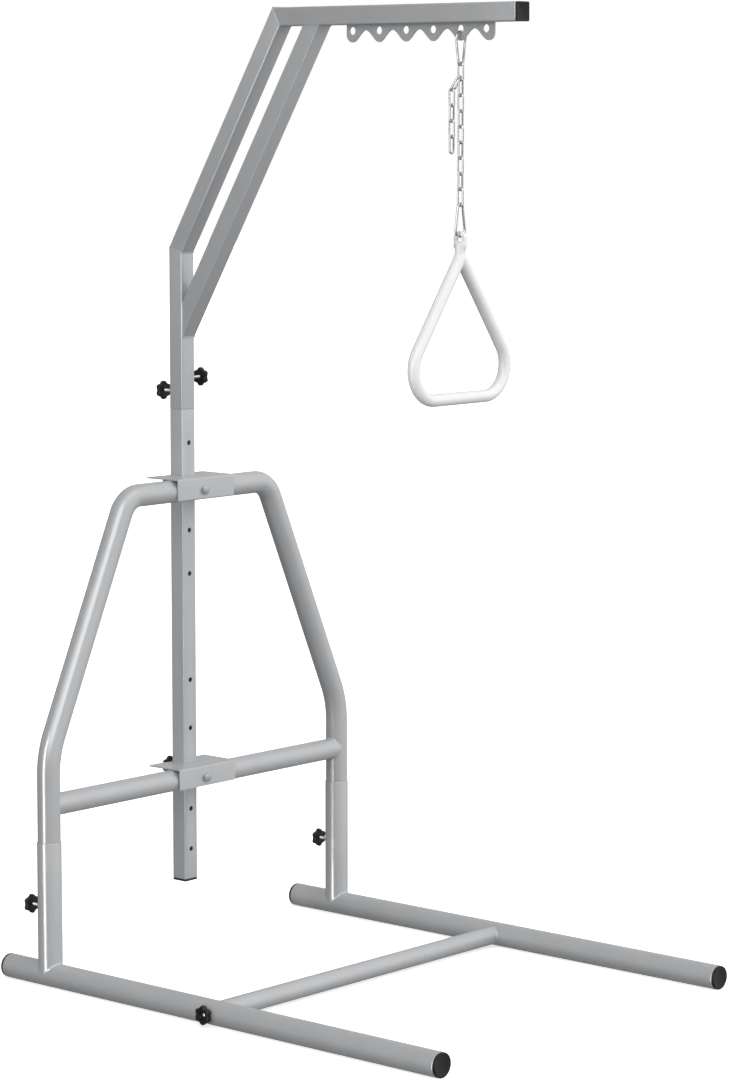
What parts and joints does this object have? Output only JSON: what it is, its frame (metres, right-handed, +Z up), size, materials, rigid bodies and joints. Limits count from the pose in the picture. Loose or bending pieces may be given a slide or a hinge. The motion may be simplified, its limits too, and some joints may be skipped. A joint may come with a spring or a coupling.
{
  "type": "bed trapeze",
  "caption": "Free-standing bed trapeze: floor stand with a hoop frame, height-adjustable square mast and boom, and a triangular handle hung on a chain with carabiners.",
  "frame": {"origin": "on the floor, at the middle of the stand's footprint", "axes": "+Z up; +Y towards the hoop frame at the back; the boom reaches to -Y; the crossbar knob is on the -X side"},
  "size_m": [0.9471, 1.176, 2.0022],
  "materials": {
    "silver_paint": "smooth silver-grey powder coat on steel tube",
    "black_plastic": "moulded black plastic, satin",
    "bright_zinc": "bright zinc-plated steel",
    "white_plastic": "white plastic, glossy"
  },
  "bodies": {
    "base": {"left_floor_tube": "silver_paint", "right_floor_tube": "silver_paint", "left_front_cap": "black_plastic", "left_rear_cap": "black_plastic", "right_front_cap": "black_plastic", "right_rear_cap": "black_plastic", "left_socket": "silver_paint", "right_socket": "silver_paint", "base_crossbar": "silver_paint", "crossbar_end_nut": "bright_zinc"},
    "frame": {"hoop_tube": "silver_paint", "hoop_crossbar": "silver_paint", "upper_bracket": "silver_paint", "lower_bracket": "silver_paint", "upper_bracket_bolt": "bright_zinc", "lower_bracket_bolt": "bright_zinc", "upper_bracket_nut": "bright_zinc", "lower_bracket_nut": "bright_zinc"},
    "mast": {"mast_tube": "silver_paint", "mast_plug": "black_plastic", "mast_spigot": "silver_paint"},
    "boom": {"boom_upright": "silver_paint", "boom_diagonal": "silver_paint", "boom_arm": "silver_paint", "boom_brace": "silver_paint", "boom_end_cap": "black_plastic", "hanger_plate": "silver_paint"},
    "left_socket_screw": {"left_socket_knob": "black_plastic", "left_socket_stud": "bright_zinc"},
    "right_socket_screw": {"right_socket_knob": "black_plastic", "right_socket_stud": "bright_zinc"},
    "crossbar_screw": {"crossbar_knob": "black_plastic", "crossbar_stud": "bright_zinc"},
    "bracket_screw": {"bracket_knob": "black_plastic", "bracket_stud": "bright_zinc"},
    "boom_rear_screw": {"boom_rear_knob": "black_plastic", "boom_rear_stud": "bright_zinc"},
    "boom_side_screw": {"boom_side_knob": "black_plastic", "boom_side_stud": "bright_zinc"},
    "top_hook": {"top_carabiner": "bright_zinc"},
    "top_hook_gate": {"top_gate": "bright_zinc"},
    "link_1": {"chain_link_1": "bright_zinc"},
    "link_2": {"chain_link_2": "bright_zinc"},
    "link_3": {"chain_link_3": "bright_zinc"},
    "link_4": {"chain_link_4": "bright_zinc"},
    "link_5": {"chain_link_5": "bright_zinc"},
    "link_6": {"chain_link_6": "bright_zinc"},
    "link_7": {"chain_link_7": "bright_zinc"},
    "link_8": {"chain_link_8": "bright_zinc"},
    "link_9": {"chain_link_9": "bright_zinc"},
    "tail_1": {"tail_link_1": "bright_zinc"},
    "tail_2": {"tail_link_2": "bright_zinc"},
    "tail_3": {"tail_link_3": "bright_zinc"},
    "tail_4": {"tail_link_4": "bright_zinc"},
    "tail_5": {"tail_link_5": "bright_zinc"},
    "lower_hook": {"lower_carabiner": "bright_zinc"},
    "lower_hook_gate": {"lower_gate": "bright_zinc"},
    "handle": {"handle_grip": "white_plastic", "handle_eye": "white_plastic"}
  },
  "joints": [
    {"name": "frame_lift", "type": "slide", "parent": "base", "child": "frame", "axis": [0, 0, 1], "range_m": [0, 0.25]},
    {"name": "mast_height", "type": "slide", "parent": "frame", "child": "mast", "axis": [0, 0, 1], "range_m": [-0.088, 0.176]},
    {"name": "boom_lift", "type": "slide", "parent": "mast", "child": "boom", "axis": [0, 0, 1], "range_m": [0, 0.11]},
    {"name": "left_socket_turn", "type": "hinge", "parent": "base", "child": "left_socket_screw", "pos_m": [-0.443, 0.49125, 0.166], "axis": [0, 1, 0], "continuous": true},
    {"name": "right_socket_turn", "type": "hinge", "parent": "base", "child": "right_socket_screw", "pos_m": [0.443, 0.49125, 0.166], "axis": [0, 1, 0], "continuous": true},
    {"name": "crossbar_turn", "type": "hinge", "parent": "base", "child": "crossbar_screw", "pos_m": [-0.468, 0, 0.02479], "axis": [-1, 0, 0], "continuous": true},
    {"name": "bracket_turn", "type": "hinge", "parent": "frame", "child": "bracket_screw", "pos_m": [0, 0.53155, 0.3903], "axis": [0, 1, 0], "continuous": true},
    {"name": "boom_rear_turn", "type": "hinge", "parent": "boom", "child": "boom_rear_screw", "pos_m": [0, 0.52805, 1.2014], "axis": [0, 1, 0], "continuous": true},
    {"name": "boom_side_turn", "type": "hinge", "parent": "boom", "child": "boom_side_screw", "pos_m": [0.019, 0.50905, 1.2299], "axis": [1, 0, 0], "continuous": true},
    {"name": "top_hook_swing", "type": "hinge", "parent": "boom", "child": "top_hook", "pos_m": [0, -0.2576, 1.9468], "axis": [1, 0, 0], "range_deg": [-45, 45]},
    {"name": "top_gate_swing", "type": "hinge", "parent": "top_hook", "child": "top_hook_gate", "pos_m": [0.00806, -0.2576, 1.89487], "axis": [0, -1, 0], "range_deg": [0, 20], "stiffness_Nm_per_rad": 0.03, "springref_deg": -17.19},
    {"name": "link_1_swing", "type": "hinge", "parent": "top_hook", "child": "link_1", "pos_m": [0, -0.2576, 1.8818], "axis": [-1, 0, 0], "range_deg": [-30, 30]},
    {"name": "link_2_swing", "type": "hinge", "parent": "link_1", "child": "link_2", "pos_m": [0, -0.2576, 1.8517], "axis": [0, 1, 0], "range_deg": [-30, 30]},
    {"name": "link_3_swing", "type": "hinge", "parent": "link_2", "child": "link_3", "pos_m": [0, -0.2576, 1.8211], "axis": [-1, 0, 0], "range_deg": [0, 30]},
    {"name": "link_4_swing", "type": "hinge", "parent": "link_3", "child": "link_4", "pos_m": [0, -0.2576, 1.7905], "axis": [0, -1, 0], "range_deg": [-30, 30]},
    {"name": "link_5_swing", "type": "hinge", "parent": "link_4", "child": "link_5", "pos_m": [0, -0.2576, 1.7599], "axis": [-1, 0, 0], "range_deg": [0, 30]},
    {"name": "link_6_swing", "type": "hinge", "parent": "link_5", "child": "link_6", "pos_m": [0, -0.2576, 1.7293], "axis": [0, 1, 0], "range_deg": [-30, 30]},
    {"name": "link_7_swing", "type": "hinge", "parent": "link_6", "child": "link_7", "pos_m": [0, -0.2576, 1.6987], "axis": [1, 0, 0], "range_deg": [-30, 30]},
    {"name": "link_8_swing", "type": "hinge", "parent": "link_7", "child": "link_8", "pos_m": [0, -0.2576, 1.6681], "axis": [0, -1, 0], "range_deg": [-30, 30]},
    {"name": "link_9_swing", "type": "hinge", "parent": "link_8", "child": "link_9", "pos_m": [0, -0.2576, 1.6375], "axis": [-1, 0, 0], "range_deg": [-30, 30]},
    {"name": "tail_1_swing", "type": "hinge", "parent": "link_1", "child": "tail_1", "pos_m": [0, -0.2559, 1.85995], "axis": [1, 0, 0], "range_deg": [0, 50]},
    {"name": "tail_2_swing", "type": "hinge", "parent": "tail_1", "child": "tail_2", "pos_m": [0, -0.2349, 1.83208], "axis": [1, 0, 0], "range_deg": [0, 40]},
    {"name": "tail_3_swing", "type": "hinge", "parent": "tail_2", "child": "tail_3", "pos_m": [0, -0.2349, 1.80148], "axis": [0, 1, 0], "range_deg": [-30, 30]},
    {"name": "tail_4_swing", "type": "hinge", "parent": "tail_3", "child": "tail_4", "pos_m": [0, -0.2349, 1.77088], "axis": [1, 0, 0], "range_deg": [0, 30]},
    {"name": "tail_5_swing", "type": "hinge", "parent": "tail_4", "child": "tail_5", "pos_m": [0, -0.2349, 1.74028], "axis": [0, -1, 0], "range_deg": [-30, 30]},
    {"name": "lower_hook_swing", "type": "hinge", "parent": "link_9", "child": "lower_hook", "pos_m": [0, -0.2576, 1.6069], "axis": [0, 1, 0], "range_deg": [-30, 30]},
    {"name": "lower_gate_swing", "type": "hinge", "parent": "lower_hook", "child": "lower_hook_gate", "pos_m": [0.00806, -0.2576, 1.59863], "axis": [0, 1, 0], "range_deg": [0, 20], "stiffness_Nm_per_rad": 0.03, "springref_deg": -17.19},
    {"name": "handle_swing", "type": "hinge", "parent": "lower_hook", "child": "handle", "pos_m": [0, -0.2576, 1.5467], "axis": [1, 0, 0], "range_deg": [-45, 45]}
  ]
}
